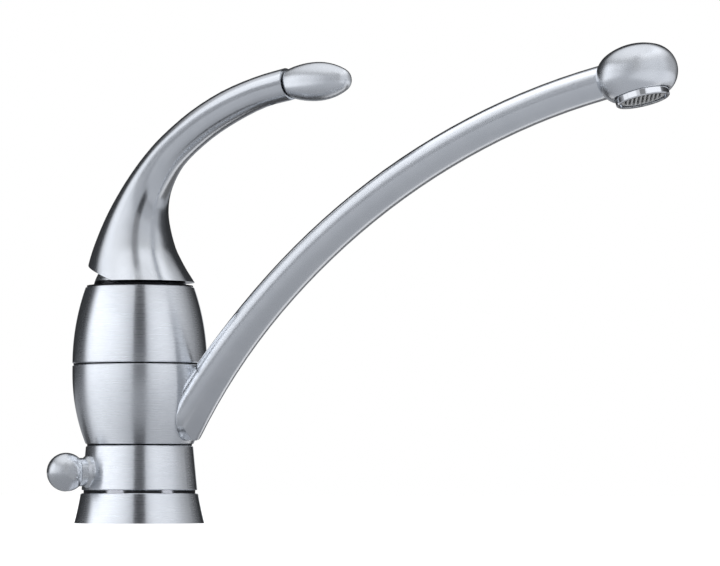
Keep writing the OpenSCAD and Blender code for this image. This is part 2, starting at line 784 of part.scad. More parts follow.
// Lever: skirt, neck and arm in one piece
module lever_handle() {
    socket_w = spindle_w + 2 * socket_clear;
    big = 2 * arm_reach;
    color(nickel) difference() {
        lever_form();
        translate([-big / 2, -big / 2, z_skirt - big]) cube(big);
        translate([rear_cut_x, -big / 2, z_skirt]) rotate([0, rear_cut_angle, 0])
            translate([-big, 0, -big]) cube(big);
        translate([0, 0, z_pivot]) sphere(r = dome_r + skirt_clear);
        translate([-socket_w / 2, -socket_w / 2, z_pivot])
            cube([socket_w, socket_w, spindle_h + socket_top_clear]);
        translate([arm_reach, 0, z_knob]) rotate([0, -arm_end_lean, 0])
            translate([0, -big / 2, -big / 2]) cube(big);
        translate([arm_reach - knob_cup_depth + knob_cup_r, 0, z_knob]) sphere(r = knob_cup_r);
        translate([0, 0, z_set_screw]) rotate([0, -90, 0]) cylinder(r = set_screw_r, h = arm_reach);
        translate([arm_reach - stem_in_arm, 0, z_knob]) rotate([0, 90, 0]) cylinder(r = stem_r, h = knob_x);
        translate([knob_screw_x, 0, z_knob - 4 * knob_r]) cylinder(r = knob_screw_r, h = 4 * knob_r);
    }
}

// Set screw with a hexagon socket; it points down its own Z axis
module set_screw(r, l) {
    color(steel) difference() {
        cylinder(r = r, h = l);
        translate([0, 0, l - hex_depth]) cylinder(r = min(hex_r, r - 0.5), h = hex_depth + past, $fn = 6);
    }
}

module handle_grub_screw() {
    translate([-spindle_w / 2, 0, z_set_screw]) rotate([0, -90, 0]) set_screw(set_screw_r, set_screw_l);
}

module knob_stem() {
    l = knob_x - knob_back_l + stem_in_knob - arm_reach + stem_in_arm;
    color(steel) translate([arm_reach - stem_in_arm, 0, z_knob]) rotate([0, 90, 0])
        cylinder(r = stem_r, h = l);
}

// Egg-shaped knob, whose blunter end lies in the arm's hollow end
module lever_knob() {
    color(nickel) difference() {
        translate([knob_x, 0, z_knob]) rotate([0, 90, 0]) rotate_extrude() intersection() {
            rotate(90) {
                half_oval(knob_half_l, knob_r, knob_tip_r);
                mirror([1, 0]) half_oval(knob_back_l, knob_r, knob_back_r);
            }
            translate([0, -2 * knob_half_l]) square([2 * knob_half_l, 4 * knob_half_l]);
        }
        translate([0, 0, z_knob]) rotate([0, 90, 0])
            cylinder(r = stem_r, h = knob_x - knob_back_l + stem_in_knob);
    }
}

module knob_grub_screw() {
    translate([knob_screw_x, 0, z_knob - stem_r]) rotate([180, 0, 0]) set_screw(knob_screw_r, knob_screw_l);
}

// Outline of the hub's outside, from a little below its bottom edge to a little above its top edge
module hub_outline() {
    intersection() {
        translate([belly_r - hub_arc_r, z_hub_arc]) circle(hub_arc_r);
        translate([0, z_hub - past]) square([belly_r + past, z_hub_arc - z_hub + past]);
    }
    translate([0, z_hub_arc]) square([belly_r, belly_band + past]);
}

module spout_hub() {
    color(nickel) difference() {
        rotate_extrude() difference() {
            intersection() {
                hub_outline();
                translate([0, z_hub]) square([belly_r + past, hub_h]);
            }
            translate([0, z_hub - past]) square([hub_bore_r, hub_h + 2 * past]);
            translate([0, z_counterbore]) square([counterbore_r, hub_h]);
            bevel(hub_bottom_r, z_hub);
            bevel(belly_r, z_hub_top);
        }
        translate([0, 0, z_chamber + chamber_h / 2]) rotate([0, 90 - spout_way_tilt, 0])
            cylinder(r = spout_way_r, h = belly_r + past);
    }
}

module bulb_form() {
    at_bulb() rotate_extrude() half_oval(bulb_r, bulb_h, bulb_side_r);
}

// Radius of the tube at a share of its length, with the flare of its foot
function tube_r(share) =
    tube_root_r + (tube_end_r - tube_root_r) * share + root_flare * pow(max(0, 1 - share / flare_share), 2);

// Space under the spout's rounded foot
module below_foot() {
    z_foot = z_hub + tube_foot_lift;
    length = 2 * belly_r;
    difference() {
        translate([0, -belly_r, z_foot - belly_r]) cube([length, 2 * belly_r, belly_r + foot_arch_h - past]);
        translate([-past, 0, z_foot + foot_arch_h]) rotate([90, 0, 90])
            linear_extrude(length + 2 * past) rotate(-90) half_oval(foot_arch_h, foot_half_w, foot_tip_r);
    }
}

// Spout: brazed to the hub at its foot, its spigot pushed into the bulb at its end
module spout_tube() {
    swing = tube_foot_angle - tube_last_angle;
    rings = [for (i = [0 : tube_rings])
        let (a = tube_foot_angle - swing * i / tube_rings, p = bend_point(a))
        ring_points(p.x, p.y, tube_r(i / tube_rings), 90 - a, tube_sides)];
    bore_last_angle = tube_last_angle - 1;
    color(nickel) difference() {
        union() {
            difference() {
                skin(rings);
                rotate_extrude() hub_outline();
                below_foot();
                bulb_form();
                at_joint() translate([-bulb_r, -bulb_r, spigot_l]) cube([2 * bulb_r, 2 * bulb_r, 2 * bulb_r]);
            }
            at_joint() translate([0, 0, -2]) cylinder(r = spigot_end_r, h = spigot_l + 2);
        }
        translate([bend_at.x, 0, bend_at.y]) rotate([90, 0, 0]) rotate([0, 0, 90 + bore_last_angle])
            rotate_extrude(angle = bore_foot_angle - bore_last_angle)
                translate([bend_r, 0]) circle(tube_bore_r);
    }
}

module outlet_bulb() {
    color(nickel) difference() {
        bulb_form();
        at_joint() translate([0, 0, -bulb_r]) cylinder(r = spigot_end_r, h = bulb_r + spigot_l);
        at_bulb() {
            translate([-bulb_r, -bulb_r, -rim_drop - bulb_r]) cube([2 * bulb_r, 2 * bulb_r, bulb_r]);
            translate([0, 0, -seal_at - past])
                cylinder(r = outlet_chamber_r, h = outlet_chamber_top + seal_at + past);
            translate([0, 0, -bulb_r]) cylinder(r = aerator_thread_r, h = bulb_r - seal_at);
            translate([0, 0, -bulb_r]) cylinder(r = aerator_r + mouth_gap, h = bulb_r - step_at);
            translate([0, 0, outlet_way_rise]) rotate([0, -90, 0])
                cylinder(r = outlet_way_r, h = bulb_r - outlet_way_start);
        }
    }
}

module aerator_seal() {
    color(black) at_bulb() ring(aerator_thread_r, insert_r - 2, -thread_at, seal_t);
}

module aerator_housing() {
    color(bright) at_bulb() rotate_extrude() difference() {
        union() {
            translate([0, -step_at]) square([aerator_thread_r, step_at - thread_at]);
            translate([0, -lip_at]) square([aerator_r, lip_at - step_at]);
        }
        translate([0, -lip_at - past]) square([insert_r, lip_at + past]);
        translate([0, -lip_at - past]) square([aerator_mouth_r, mouth_depth + past]);
        bevel(aerator_r, -lip_at);
    }
}

// Two layers of slots that cross, so that the water falls through a grid
module aerator_insert() {
    foot = lip_at - insert_inset;
    shoulder = lip_at - mouth_depth;
    mid = (foot + thread_at) / 2;
    color(plastic) at_bulb() rotate([0, 0, slat_turn]) difference() {
        union() {
            translate([0, 0, -shoulder]) cylinder(r = insert_r, h = shoulder - thread_at);
            translate([0, 0, -foot]) cylinder(r = insert_foot_r, h = foot - shoulder + past);
        }
        intersection() {
            translate([0, 0, -foot - past]) cylinder(r = insert_foot_r - insert_wall, h = foot + past);
            for (i = [-slats_each_side : slats_each_side]) {
                translate([i * slat_pitch - (slat_pitch - slat_w) / 2, -insert_r, -foot - 2 * past])
                    cube([slat_pitch - slat_w, 2 * insert_r, foot - mid + 2 * past + 0.2]);
                translate([-insert_r, i * slat_pitch - (slat_pitch - slat_w) / 2, -mid])
                    cube([2 * insert_r, slat_pitch - slat_w, mid]);
            }
        }
    }
}

// Screwed-in valve body: its flared foot and neck show outside the tap
module valve_neck() {
    color(nickel) at_valve() rotate_extrude() difference() {
        union() {
            translate([0, valve_body_at]) square([valve_chamber_r, valve_foot_at - valve_body_at + past]);
            translate([0, valve_foot_at]) square([valve_foot_r, valve_foot_h]);
            polygon([[0, valve_foot_at + valve_foot_h], [valve_foot_r, valve_foot_at + valve_foot_h],
                [valve_neck_r, valve_foot_at + valve_foot_h + valve_flare_h], [valve_neck_r, valve_neck_end],
                [0, valve_neck_end]]);
        }
        translate([0, valve_body_at - past]) square([valve_spindle_r + turn_gap, valve_ball_reach]);
        translate([0, valve_ring_at - valve_ring_d / 2])
            square([valve_spindle_r + turn_gap + valve_ring_d, valve_ring_d]);
    }
}

module valve_seat_seal() {
    color(black) at_valve() ring(valve_chamber_r, valve_chamber_r - 3.2, valve_floor, seal_t);
}

module valve_fixed_disc() {
    color(ceramic) at_valve() translate([0, 0, valve_disc_at]) difference() {
        cylinder(r = valve_chamber_r, h = valve_disc_h);
        translate([valve_hole_off, 0, -past]) cylinder(r = valve_hole_r, h = valve_disc_h + 2 * past);
    }
}

// Its hole meets the fixed disc's hole after a quarter turn
module valve_turning_disc() {
    color(ceramic) at_valve() translate([0, 0, valve_turn_at]) difference() {
        cylinder(r = valve_flange_r, h = valve_disc_h);
        translate([0, -valve_hole_off, -past]) cylinder(r = valve_hole_r, h = valve_disc_h + 2 * past);
    }
}

// Spindle with a slot in its flange that lets the water out of the turning disc's hole
module valve_spindle() {
    slot_inner = 0.6;
    color(brass) at_valve() difference() {
        union() {
            translate([0, 0, valve_flange_at]) cylinder(r = valve_flange_r, h = valve_flange_h);
            translate([0, 0, valve_flange_at])
                cylinder(r = valve_spindle_r, h = valve_spindle_end - valve_flange_at);
        }
        translate([-valve_hole_r, -valve_flange_r - past, valve_flange_at - past])
            cube([2 * valve_hole_r, valve_flange_r + past - slot_inner, past + valve_flange_h / 2]);
    }
}

module valve_o_ring() {
    color(black) at_valve() translate([0, 0, valve_ring_at]) o_ring(valve_spindle_r + turn_gap, valve_ring_d);
}

module valve_knob() {
    color(nickel) at_valve() difference() {
        rotate_extrude() difference() {
            intersection() {
                translate([0, valve_ball_reach]) circle(valve_ball_r);
                translate([0, valve_knob_at]) square(2 * valve_ball_r);
            }
            translate([0, valve_knob_at - past])
                square([valve_spindle_r, valve_spindle_end - valve_knob_at + past]);
        }
        translate([0, 0, valve_screw_at]) rotate([0, 90, 0])
            cylinder(r = valve_screw_r, h = 2 * valve_ball_r);
    }
}

module valve_knob_screw() {
    at_valve() translate([valve_spindle_r, 0, valve_screw_at]) rotate([0, 90, 0])
        set_screw(valve_screw_r, valve_screw_l);
}

module fixing_stud() {
    color(steel) translate([stud_at.x, stud_at.y, z_nut - stud_tail])
        cylinder(r = stud_r, h = spigot_lift + stud_in - z_nut + stud_tail);
}

// Washer with a slot for the hoses that opens away from the stud
module washer(z, t) {
    translate([0, 0, z]) difference() {
        cylinder(r = washer_r, h = t);
        rotate([0, 0, stud_az + 180]) {
            translate([slot_corner_r - slot_start, -slot_half_w, -past])
                cube([2 * washer_r, 2 * slot_half_w, t + 2 * past]);
            translate([-slot_start, slot_corner_r - slot_half_w, -past])
                cube([2 * washer_r, 2 * (slot_half_w - slot_corner_r), t + 2 * past]);
            for (side = [-1, 1])
                translate([slot_corner_r - slot_start, side * (slot_half_w - slot_corner_r), -past])
                    cylinder(r = slot_corner_r, h = t + 2 * past);
        }
        translate([stud_at.x, stud_at.y, -past]) cylinder(r = stud_r + stud_clear, h = t + 2 * past);
    }
}

module fixing_rubber_washer() {
    color(black) washer(z_rubber, rubber_t);
}

module fixing_horseshoe_washer() {
    color(steel) washer(z_steel, steel_t);
}

module fixing_nut() {
    color(brass) translate([stud_at.x, stud_at.y, z_nut]) difference() {
        cylinder(r = nut_af / sqrt(3), h = nut_h, $fn = 6);
        translate([0, 0, -past]) cylinder(r = stud_r, h = nut_h + 2 * past);
    }
}

base_flange();
base_seal();
shadow_ring();
mixer_body();
lower_glide_ring();
spout_o_rings();
upper_glide_ring();
barrel();
dust_ring();
cartridge_base();
port_seals();
cartridge_housing();
fixed_ceramic_disc();
moving_ceramic_disc();
disc_carrier();
cartridge_rotor();
pivot_pin();
spindle_lever();
cartridge_nut();
dome_cover();
lever_handle();
handle_grub_screw();
knob_stem();
lever_knob();
knob_grub_screw();
spout_hub();
spout_tube();
outlet_bulb();
aerator_housing();
aerator_insert();
aerator_seal();
valve_neck();
valve_seat_seal();
valve_fixed_disc();
valve_turning_disc();
valve_spindle();
valve_o_ring();
valve_knob();
valve_knob_screw();
fixing_stud();
fixing_rubber_washer();
fixing_horseshoe_washer();
fixing_nut();
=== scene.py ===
import math
import bpy
from mathutils import Matrix, Vector


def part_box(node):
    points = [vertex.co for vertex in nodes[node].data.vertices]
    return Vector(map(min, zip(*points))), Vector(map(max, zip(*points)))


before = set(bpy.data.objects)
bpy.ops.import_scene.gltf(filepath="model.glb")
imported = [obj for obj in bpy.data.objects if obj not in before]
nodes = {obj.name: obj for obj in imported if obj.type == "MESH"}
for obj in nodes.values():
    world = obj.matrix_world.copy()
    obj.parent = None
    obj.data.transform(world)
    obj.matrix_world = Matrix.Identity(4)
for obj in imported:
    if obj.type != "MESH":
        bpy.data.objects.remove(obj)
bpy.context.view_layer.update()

# Nodes that share a metal or a light
SECTIONS = ["base_flange", "mixer_body", "spout_hub", "barrel"]
TURNED = SECTIONS + ["dome_cover"]
ROUND = ["outlet_bulb", "lever_knob", "valve_neck", "valve_knob"]
SOFT = ["spout_tube"] + ROUND

# Node helpers

# Sockets of the Mix node in its colour form
MIX_FIRST = 6
MIX_SECOND = 7
MIX_RESULT = 2


def feed(tree, source, socket):
    """Links source to the socket if it is a socket too, and else sets the socket to it."""
    if isinstance(source, bpy.types.NodeSocket):
        tree.links.new(source, socket)
    else:
        socket.default_value = source


def add(tree, kind, **values):
    """New node. Each value goes to the input of that name, or else to the node's own setting."""
    n = tree.nodes.new(kind)
    for key, value in values.items():
        if key in n.inputs:
            feed(tree, value, n.inputs[key])
        else:
            setattr(n, key, value)
    return n


def place(tree):
    return add(tree, "ShaderNodeTexCoord").outputs["Object"]


def height_of(tree):
    return add(tree, "ShaderNodeSeparateXYZ", Vector=place(tree)).outputs["Z"]


def compute(tree, operation, first, second):
    n = add(tree, "ShaderNodeMath", operation=operation)
    feed(tree, first, n.inputs[0])
    feed(tree, second, n.inputs[1])
    return n.outputs[0]


def map_range(tree, value, span, result=(0.0, 1.0), curve="LINEAR"):
    """The value, taken from the range span to the range result."""
    n = add(tree, "ShaderNodeMapRange", interpolation_type=curve, Value=value)
    for key, number in zip(("From Min", "From Max", "To Min", "To Max"), (*span, *result)):
        n.inputs[key].default_value = number
    return n.outputs["Result"]


def mix_colors(tree, first, second, factor=1.0, kind="MIX"):
    n = add(tree, "ShaderNodeMix", data_type="RGBA", blend_type=kind, Factor=factor)
    feed(tree, first, n.inputs[MIX_FIRST])
    feed(tree, second, n.inputs[MIX_SECOND])
    return n.outputs[MIX_RESULT]


def add_shaders(tree, first, second):
    both = add(tree, "ShaderNodeAddShader")
    tree.links.new(first.outputs[0], both.inputs[0])
    tree.links.new(second.outputs[0], both.inputs[1])
    return both


# Materials of the tap

# The range that most noise values lie in
NOISE_SPAN = (0.3, 0.7)
# Size of the tone patches on metal, as a noise scale
PATCH = 120
# Metal is glossier where it is seen at a low angle: the range of Facing, and the share of roughness left
LOW_ANGLE = (0.45, 0.95)
LOW_ANGLE_ROUGH = 0.4
# Detail and roughness of the noise that makes the brush lines
BRUSH = (3.0, 0.6)
# Quarter turn from the lines round the Z axis to the direction across them
ACROSS = 0.25
# Painted shade: colour of metal where another piece keeps it in shade
PAINTED_SHADE = (0.02, 0.02, 0.022, 1)


def new_material(name):
    m = bpy.data.materials.new(name)
    m.use_nodes = True
    return m, m.node_tree, m.node_tree.nodes["Principled BSDF"]


def noise(tree, scale, detail=4.0, rough=0.55):
    """Noise in object coordinates, stretched by scale along X, Y and Z."""
    stretched = add(tree, "ShaderNodeMapping", Scale=scale, Vector=place(tree)).outputs["Vector"]
    n = add(tree, "ShaderNodeTexNoise", Scale=1.0, Detail=detail, Roughness=rough, Vector=stretched)
    return n.outputs["Fac"]


def two_tone(tree, fac, dark, light):
    n = add(tree, "ShaderNodeValToRGB", Fac=fac)
    for point, position, color in zip(n.color_ramp.elements, NOISE_SPAN, (dark, light)):
        point.position = position
        point.color = (*color, 1)
    return n.outputs["Color"]


def relief(tree, shader, fac, depth):
    bump = add(tree, "ShaderNodeBump", Strength=1.0, Distance=depth, Height=fac)
    tree.links.new(bump.outputs["Normal"], shader.inputs["Normal"])


def metal(name, dark, light, rough, grain, depth, turned=0.0):
    """Metal with brush lines from stretched noise, and broad patches that change its tone a little.

    With turned, its highlights are stretched along Z, across the lines that a lathe leaves."""
    m, tree, shader = new_material(name)
    shader.inputs["Metallic"].default_value = 1.0
    patches = noise(tree, (PATCH, PATCH, PATCH))
    feed(tree, two_tone(tree, patches, dark, light), shader.inputs["Base Color"])
    lines = noise(tree, grain, *BRUSH)
    facing = add(tree, "ShaderNodeLayerWeight", Blend=0.5).outputs["Facing"]
    rough_left = map_range(tree, facing, LOW_ANGLE, (1.0, LOW_ANGLE_ROUGH), "SMOOTHSTEP")
    gloss = compute(tree, "MULTIPLY", map_range(tree, lines, NOISE_SPAN, rough), rough_left)
    feed(tree, gloss, shader.inputs["Roughness"])
    relief(tree, shader, lines, depth)
    if turned:
        tangent = add(tree, "ShaderNodeTangent", direction_type="RADIAL", axis="Z")
        feed(tree, tangent.outputs["Tangent"], shader.inputs["Tangent"])
        shader.inputs["Anisotropic"].default_value = turned
        shader.inputs["Anisotropic Rotation"].default_value = ACROSS
    return m


def soft(name, dark, light, rough, scale, depth, specular=0.5):
    """Rubber, plastic or ceramic: fine mottling in tone, gloss and surface."""
    m, tree, shader = new_material(name)
    shader.inputs["Specular IOR Level"].default_value = specular
    mottle = noise(tree, (scale, scale, scale))
    feed(tree, two_tone(tree, mottle, dark, light), shader.inputs["Base Color"])
    feed(tree, map_range(tree, mottle, NOISE_SPAN, rough), shader.inputs["Roughness"])
    relief(tree, shader, mottle, depth)
    return m


def paint_shade_below(m, edge, blur=0.0002):
    """Paints shade into a material: darkens it below the height edge, over a band of blur to each side."""
    tree = m.node_tree
    base = tree.nodes["Principled BSDF"].inputs["Base Color"]
    lit_color = base.links[0].from_socket
    above = map_range(tree, height_of(tree), (edge - blur, edge + blur), curve="SMOOTHSTEP")
    feed(tree, mix_colors(tree, PAINTED_SHADE, lit_color, above), base)


# Dark and light tone of each metal
NICKEL = ((0.70, 0.725, 0.76), (0.74, 0.762, 0.795))
CHROME = ((0.80, 0.815, 0.84), (0.84, 0.855, 0.88))
# Chrome painted nearly black: painted shade of the ring deep in its groove between the base flange and the
# body
SHADED_CHROME = ((0.045, 0.046, 0.05), (0.055, 0.056, 0.06))
BRASS = ((0.72, 0.55, 0.27), (0.80, 0.63, 0.34))
STEEL = ((0.52, 0.53, 0.55), (0.60, 0.61, 0.63))

# Grain as a noise scale along X, Y and Z: lines round the Z axis, or fine and even
LATHE = (60, 60, 5200)
EVEN = (900, 900, 900)
FINE = (1100, 1100, 1100)
RING = (500, 500, 2500)

turned_nickel = metal("turned_nickel", *NICKEL, (0.26, 0.31), LATHE, 0.0000011, turned=0.9)
lever_nickel = metal("lever_nickel", *NICKEL, (0.18, 0.23), EVEN, 0.000001)
tube_nickel = metal("tube_nickel", *NICKEL, (0.20, 0.26), EVEN, 0.000001)
satin_nickel = metal("satin_nickel", *NICKEL, (0.26, 0.32), FINE, 0.000001)
polished = metal("polished_chrome", *CHROME, (0.06, 0.11), RING, 0.0000006)
chrome_painted_shade = metal("chrome_painted_shade", *SHADED_CHROME, (0.1, 0.15), RING, 0.0000006)
brass = metal("bare_brass", *BRASS, (0.28, 0.40), (200, 200, 3000), 0.000003)
steel = metal("plain_steel", *STEEL, (0.26, 0.38), (700, 700, 2400), 0.000003)
rubber = soft("black_rubber", (0.012, 0.012, 0.013), (0.022, 0.022, 0.024), (0.55, 0.72), 1500, 0.00001, 0.35)
line_black = soft("line_black", (0.006, 0.006, 0.007), (0.01, 0.01, 0.011), (0.6, 0.75), 1800, 0.000004, 0.12)
dark_plastic = soft("black_plastic", (0.02, 0.02, 0.022), (0.032, 0.032, 0.035), (0.35, 0.5), 1800, 0.000006)
white_plastic = soft("white_plastic", (0.74, 0.74, 0.72), (0.80, 0.80, 0.78), (0.32, 0.45), 1400, 0.000006)
grey_plastic = soft("grey_plastic", (0.34, 0.35, 0.36), (0.42, 0.43, 0.44), (0.30, 0.45), 1400, 0.000006)
ceramic = soft("ceramic", (0.80, 0.79, 0.76), (0.85, 0.84, 0.81), (0.12, 0.2), 1200, 0.000001)

# Painted shade on the dome: its material is dark up to just above the lever skirt's edge at rest, where the
# skirt shades it
SHADE_RISE = 0.0004
dome_nickel_painted_shade = metal("dome_nickel_painted_shade", *NICKEL, (0.22, 0.27), LATHE, 0.0000011)
skirt_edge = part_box("lever_handle")[0][2]
# The dome's lowest band gets painted shade, fixed in its material
paint_shade_below(dome_nickel_painted_shade, skirt_edge + SHADE_RISE)

DRESS = {
    turned_nickel: SECTIONS,
    dome_nickel_painted_shade: ["dome_cover"],
    lever_nickel: ["lever_handle"],
    tube_nickel: ["spout_tube"],
    satin_nickel: ROUND,
    polished: ["aerator_housing"],
    # The ring's chrome carries painted shade
    chrome_painted_shade: ["shadow_ring"],
    brass: ["spindle_lever", "cartridge_nut", "valve_spindle", "fixing_nut"],
    steel: ["pivot_pin", "handle_grub_screw", "knob_stem", "knob_grub_screw", "valve_knob_screw",
            "fixing_stud", "fixing_horseshoe_washer"],
    rubber: ["base_seal", "spout_o_rings", "port_seals", "aerator_seal", "valve_seat_seal", "valve_o_ring",
             "fixing_rubber_washer"],
    line_black: ["lower_glide_ring", "upper_glide_ring", "dust_ring"],
    dark_plastic: ["disc_carrier"],
    white_plastic: ["cartridge_base", "cartridge_housing", "cartridge_rotor"],
    grey_plastic: ["aerator_insert"],
    ceramic: ["fixed_ceramic_disc", "moving_ceramic_disc", "valve_fixed_disc", "valve_turning_disc"],
}
for material, names in DRESS.items():
    for name in names:
        o = nodes[name]
        o.data.materials.clear()
        o.data.materials.append(material)

# The swept surfaces are shaded smooth, with their cut edges kept sharp
WELD_GAP = 0.000001
SHARP_ANGLE = math.radians(28)
for name in ("lever_handle", "spout_tube"):
    o = nodes[name]
    if "custom_normal" in o.data.attributes:
        o.data.attributes.remove(o.data.attributes["custom_normal"])
    o.data.shade_smooth()
    weld = o.modifiers.new("weld", "WELD")
    weld.merge_threshold = WELD_GAP
    split = o.modifiers.new("split", "EDGE_SPLIT")
    split.split_angle = SHARP_ANGLE

# Studio helpers

# The camera's azimuth about the tap. The studio's azimuths are degrees from there,
# and grow towards the picture's right
AZIMUTH = math.radians(32)
toward = Vector((math.sin(AZIMUTH), -math.cos(AZIMUTH), 0))
# Slightly cold tint of every grey that levels() makes
TINT = (0.975, 0.99, 1.02)
PANEL_STEPS = 72
# Rays deeper than this have met two mirroring surfaces
TWICE_DEPTH = 1.5


def bare_material(name):
    m = bpy.data.materials.new(name)
    m.use_nodes = True
    m.node_tree.nodes.clear()
    return m, m.node_tree


def surface(tree, shader):
    tree.links.new(shader.outputs[0], add(tree, "ShaderNodeOutputMaterial").inputs["Surface"])


def even_glow(name, color):
    m, tree = bare_material(name)
    surface(tree, add(tree, "ShaderNodeEmission", Color=(*color, 1), Strength=1.0))
    return m


def seen_ray(tree):
    """1 for the rays that show the background: camera, glossy and transmission."""
    path = add(tree, "ShaderNodeLightPath").outputs
    either = compute(tree, "MAXIMUM", path["Is Camera Ray"], path["Is Glossy Ray"])
    return compute(tree, "MAXIMUM", either, path["Is Transmission Ray"])


def by_ray(tree, lighting, seen):
    """One shader for the rays that light the tap, and another for those that show the background."""
    pick = add(tree, "ShaderNodeMixShader", Fac=seen_ray(tree))
    tree.links.new(lighting.outputs[0], pick.inputs[1])
    tree.links.new(seen.outputs[0], pick.inputs[2])
    return pick


def levels(tree, fac, stops, low=0, high=1):
    """Brightness that follows the stops (place, level), with places between low and high."""
    ramp = add(tree, "ShaderNodeValToRGB", Fac=fac)
    points = ramp.color_ramp.elements
    while len(points) < len(stops):
        points.new(0.5)
    for point, (at, level) in zip(points, stops):
        point.position = (at - low) / (high - low)
        point.color = (*(level * part for part in TINT), 1)
    return ramp.outputs["Color"]


def by_azimuth(tree, stops):
    """Brightness that follows the stops (azimuth in degrees, level)."""
    turn = add(tree, "ShaderNodeMapping", vector_type="TEXTURE", Vector=place(tree),
               Rotation=(0, 0, AZIMUTH - math.pi / 2))
    radial = add(tree, "ShaderNodeTexGradient", gradient_type="RADIAL", Vector=turn.outputs["Vector"])
    return levels(tree, radial.outputs["Fac"], stops, -180, 180)


def mesh_object(name, points, faces, material):
    mesh = bpy.data.meshes.new(name)
    mesh.from_pydata([tuple(p) for p in points], [], faces)
    mesh.materials.append(material)
    o = bpy.data.objects.new(name, mesh)
    bpy.context.scene.collection.objects.link(o)
    return o


def turned_grid(rings, az_from=-180, az_to=180, steps=PANEL_STEPS):
    """Points and faces of a surface about the Z axis through rings of (radius, z)."""
    points = []
    for i in range(steps + 1):
        az = math.radians(az_from + (az_to - az_from) * i / steps)
        d = Matrix.Rotation(az, 3, "Z") @ toward
        points += [d * r + Vector((0, 0, z)) for r, z in rings]
    n = len(rings)
    faces = [(i * n + j, (i + 1) * n + j, (i + 1) * n + j + 1, i * n + j + 1)
             for i in range(steps) for j in range(n - 1)]
    return points, faces


def reflector(name, points, faces, material):
    """Stage piece that shows in the tap's reflections alone."""
    o = mesh_object(name, points, faces, material)
    for kind in ("camera", "diffuse", "transmission", "shadow", "volume_scatter"):
        setattr(o, "visible_" + kind, False)
    return o


def glow_panel(name, receivers, rings, stops, strength=1.0, twice=False):
    """See-through light panel about the tap that lights the receivers alone.

    It spans the stops' azimuths. With twice, it shows only where one metal surface mirrors another."""
    m, tree = bare_material(name)
    if twice:
        depth = add(tree, "ShaderNodeLightPath").outputs["Ray Depth"]
        strength = compute(tree, "GREATER_THAN", depth, TWICE_DEPTH)
    glow = add(tree, "ShaderNodeEmission", Color=by_azimuth(tree, stops), Strength=strength)
    surface(tree, add_shaders(tree, glow, add(tree, "ShaderNodeBsdfTransparent")))
    o = reflector(name, *turned_grid(rings, stops[0][0], stops[-1][0]), m)
    lit_nodes = bpy.data.collections.new(name + "_receivers")
    for n in receivers:
        lit_nodes.objects.link(nodes[n])
    o.light_linking.receiver_collection = lit_nodes


# World: full white to the rays that show it, and weaker as a light

world = bpy.data.worlds.new("studio")
bpy.context.scene.world = world
world.use_nodes = True
world_tree = world.node_tree
world_tree.nodes.clear()
lighting = add(world_tree, "ShaderNodeBackground", Color=(1, 1, 1, 1), Strength=0.62)
seen = add(world_tree, "ShaderNodeBackground", Color=(1, 1, 1, 1), Strength=1.0)
world_out = add(world_tree, "ShaderNodeOutputWorld")
world_tree.links.new(by_ray(world_tree, lighting, seen).outputs[0], world_out.inputs["Surface"])

# Heights of the flat sheets in metres, just under the deck's level, from the lowest to the highest
FLOOR_Z = -0.0001
GROUND_Z = -0.00006
REAR_Z = -0.00005
BACK_Z = -0.00004
BODY_GLOW_Z = -0.00003
FLAG_Z = -0.00002
GLOW_Z = -0.00001


def sheet(x_from, x_to, y_from, y_to, z):
    """Points and faces of a flat rectangle."""
    return [(x_from, y_from, z), (x_to, y_from, z), (x_to, y_to, z), (x_from, y_to, z)], [(0, 1, 2, 3)]


# Floor: white to the rays that show it, and it keeps the tap's shadow
FLOOR_HALF = 6.0
floor_white, floor_tree = bare_material("floor_white")
matt = add(floor_tree, "ShaderNodeBsdfDiffuse", Color=(0.92, 0.92, 0.92, 1))
lift = add(floor_tree, "ShaderNodeEmission", Strength=0.55)
surface(floor_tree, by_ray(floor_tree, matt, add_shaders(floor_tree, matt, lift)))
mesh_object("floor", *sheet(-FLOOR_HALF, FLOOR_HALF, -FLOOR_HALF, FLOOR_HALF, FLOOR_Z), floor_white)

# Sky: levels by azimuth and height low down, and by height alone above, where height is the sine of the
# elevation. The change between them lies higher behind the tap, by the shift
SKY_R = 2.6
SKY_CHANGE = (0.5, 0.68)
SKY_STEP = 5
SKY_AZ = [(-180, 0.04), (-116, 0.05), (-104, 0.26), (-94, 0.50), (-69, 0.50), (-66.5, 0.34), (-63, 0.34),
          (-60, 0.50), (80, 0.48), (90, 0.22), (102, 0.08), (130, 0.04), (180, 0.04)]
SKY_LOW = [(0.0, 0.72), (0.05, 0.75), (0.14, 0.98), (0.4, 1.0)]
SKY_HIGH = [(0.5, 0.48), (0.7, 0.54), (0.78, 0.85), (0.87, 0.95), (1.0, 1.05)]
SKY_SHIFT = [(-180, 0.13), (-146, 0.13), (-136, 0.0), (136, 0.0), (146, 0.13), (180, 0.13)]

sky, sky_tree = bare_material("sky")
height = compute(sky_tree, "DIVIDE", height_of(sky_tree), SKY_R)
low_levels = levels(sky_tree, height, SKY_LOW)
low_sky = mix_colors(sky_tree, by_azimuth(sky_tree, SKY_AZ), low_levels, kind="MULTIPLY")
high_sky = levels(sky_tree, height, SKY_HIGH)
lowered = compute(sky_tree, "SUBTRACT", height, by_azimuth(sky_tree, SKY_SHIFT))
change = map_range(sky_tree, lowered, SKY_CHANGE, curve="SMOOTHSTEP")
sky_color = mix_colors(sky_tree, low_sky, high_sky, change)
surface(sky_tree, add(sky_tree, "ShaderNodeEmission", Color=sky_color, Strength=1.0))
elevations = [math.radians(e) for e in range(0, 90 + SKY_STEP, SKY_STEP)]
reflector("sky", *turned_grid([(SKY_R * math.cos(e), SKY_R * math.sin(e)) for e in elevations]), sky)

